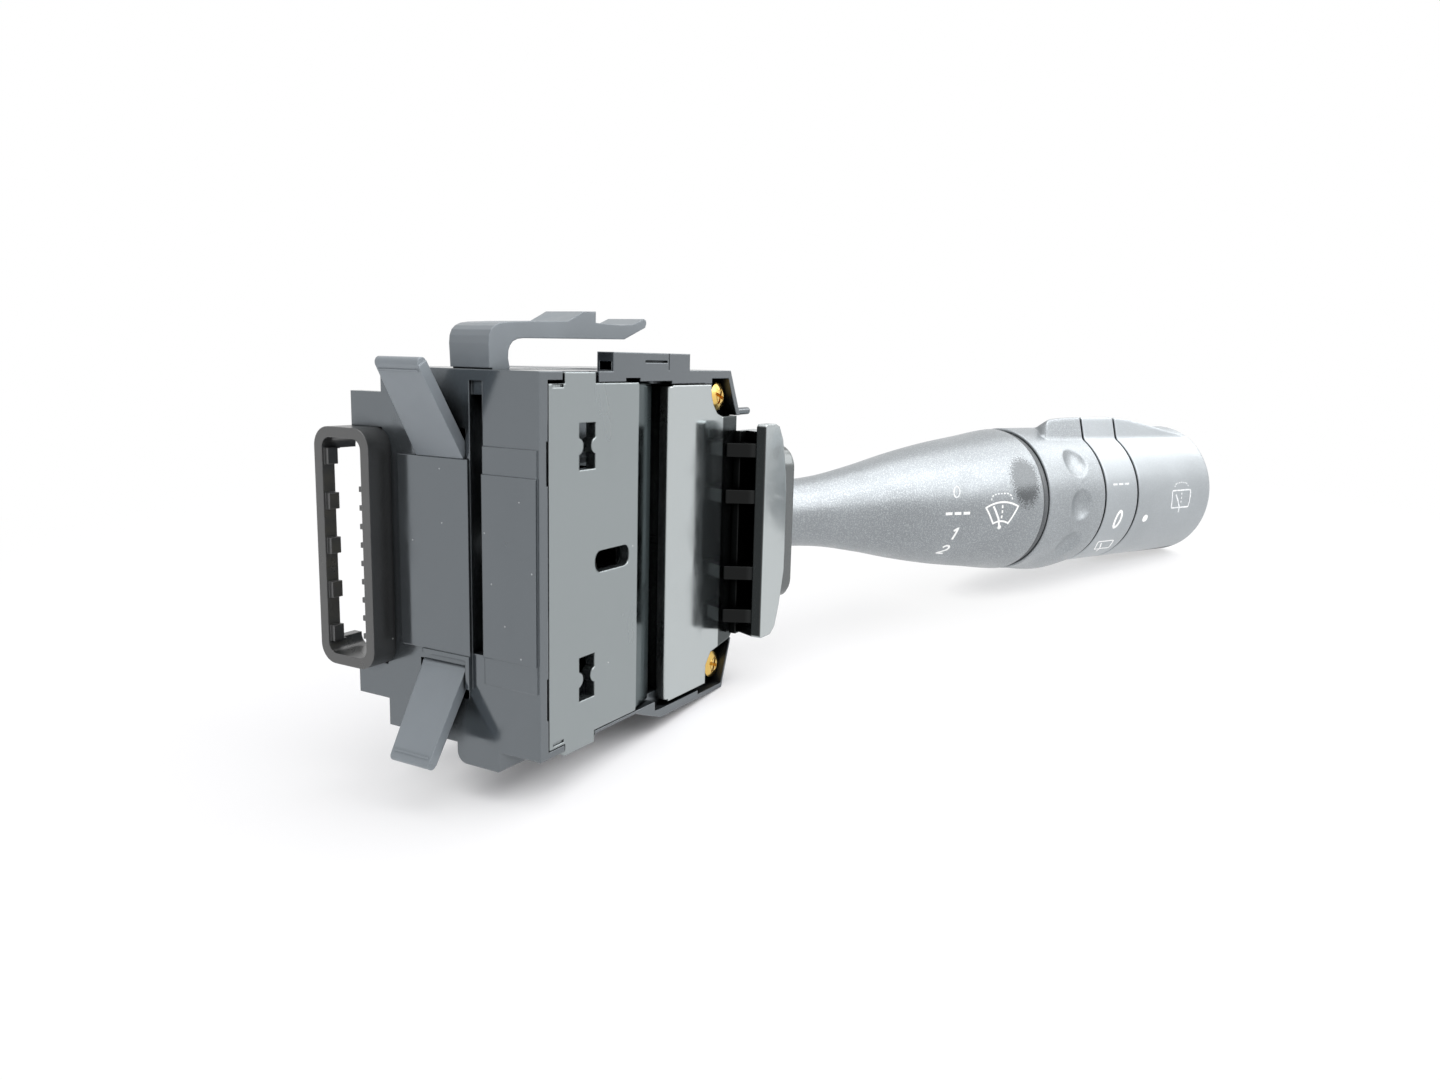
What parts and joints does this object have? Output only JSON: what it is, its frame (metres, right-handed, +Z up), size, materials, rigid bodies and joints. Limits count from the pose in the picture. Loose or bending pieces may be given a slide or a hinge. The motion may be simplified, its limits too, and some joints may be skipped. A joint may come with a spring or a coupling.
{
  "type": "combination stalk switch",
  "caption": "Steering column wiper switch module: ribbed housing with latch and connector frame, swinging lever carrier, flared stalk with turning interval ring and end knob.",
  "frame": {"origin": "centre of the rear seat face, where the module stops against the column carrier", "axes": "+X from the rear seat face towards the lever, -Y towards the driver, +Z up along the housing's height"},
  "size_m": [0.2192, 0.1216, 0.0758],
  "materials": {
    "housing_plastic": "moulded satin, near black",
    "cover_plastic": "moulded semi gloss, near black",
    "frame_plastic": "moulded, black",
    "latch_plastic": "moulded semi gloss, near black",
    "carrier_plastic": "moulded semi gloss, black",
    "stalk_plastic": "fine grained, graphite, with white print",
    "collar_plastic": "moulded, black",
    "core_plastic": "glass filled, dark",
    "natural_plastic": "natural, low friction",
    "brass": "yellow, passivated",
    "spring_steel": "drawn wire and ground pins",
    "contact_copper": "spring copper",
    "board_laminate": "solder masked laminate"
  },
  "bodies": {
    "housing_group": {"housing": "housing_plastic", "side_cover": "cover_plastic", "end_cover": "cover_plastic", "cover_screws": "brass", "connector_frame": "frame_plastic", "contact_board": "board_laminate", "terminal_blades": "brass", "swing_pin": "spring_steel", "detent_track": "natural_plastic"},
    "latch_arm": {"release_latch": "latch_plastic"},
    "upper_clip": {"upper_tongue": "latch_plastic"},
    "lower_clip": {"lower_tongue": "latch_plastic"},
    "swing_carrier": {"lever_carrier": "carrier_plastic", "contact_slider": "contact_copper", "detent_spring": "spring_steel", "pull_pin": "spring_steel"},
    "plunger": {"detent_plunger": "natural_plastic"},
    "lever": {"lever_core": "core_plastic", "root_shield": "stalk_plastic", "stalk_grip": "stalk_plastic", "grip_collar": "collar_plastic", "mark_ring": "stalk_plastic", "stalk_board": "board_laminate", "return_spring": "spring_steel"},
    "interval_dial": {"interval_ring": "stalk_plastic", "interval_contact": "contact_copper"},
    "rear_wipe_dial": {"end_knob": "stalk_plastic", "knob_contact": "contact_copper", "end_cap": "stalk_plastic"}
  },
  "joints": [
    {"name": "stalk_swing", "type": "hinge", "parent": "housing_group", "child": "swing_carrier", "pos_m": [0.044, 0, 0], "axis": [0, 1, 0], "range_deg": [-6.5, 19.5]},
    {"name": "detent_travel", "type": "slide", "parent": "swing_carrier", "child": "plunger", "axis": [1, 0, 0], "range_m": [0, 0.0008], "stiffness_N_per_m": 500, "springref_m": -0.002},
    {"name": "stalk_pull", "type": "hinge", "parent": "swing_carrier", "child": "lever", "pos_m": [0.05893, -0.00306, 0], "axis": [0, 0, -1], "range_deg": [0, 6.5], "stiffness_Nm_per_rad": 3, "springref_deg": -2.86},
    {"name": "interval_turn", "type": "hinge", "parent": "lever", "child": "interval_dial", "pos_m": [0.15438, -0.05359, 0], "axis": [0.8838, -0.4679, 0], "range_deg": [-25, 25]},
    {"name": "rear_wipe_turn", "type": "hinge", "parent": "lever", "child": "rear_wipe_dial", "pos_m": [0.18973, -0.07231, 0], "axis": [0.8838, -0.4679, 0], "range_deg": [-28, 28]},
    {"name": "latch_press", "type": "hinge", "parent": "housing_group", "child": "latch_arm", "pos_m": [0.0034, -0.0028, 0.0312], "axis": [0, 1, 0], "range_deg": [0, 5], "stiffness_Nm_per_rad": 3, "springref_deg": -1.15},
    {"name": "upper_clip_press", "type": "hinge", "parent": "housing_group", "child": "upper_clip", "pos_m": [0.0011, 0.0034, 0.0172], "axis": [0, 1, 0], "range_deg": [0, 8], "stiffness_Nm_per_rad": 0.7, "springref_deg": -2.86},
    {"name": "lower_clip_press", "type": "hinge", "parent": "housing_group", "child": "lower_clip", "pos_m": [0.0011, 0.0034, -0.0184], "axis": [0, -1, 0], "range_deg": [0, 8], "stiffness_Nm_per_rad": 0.7, "springref_deg": -2.86}
  ]
}
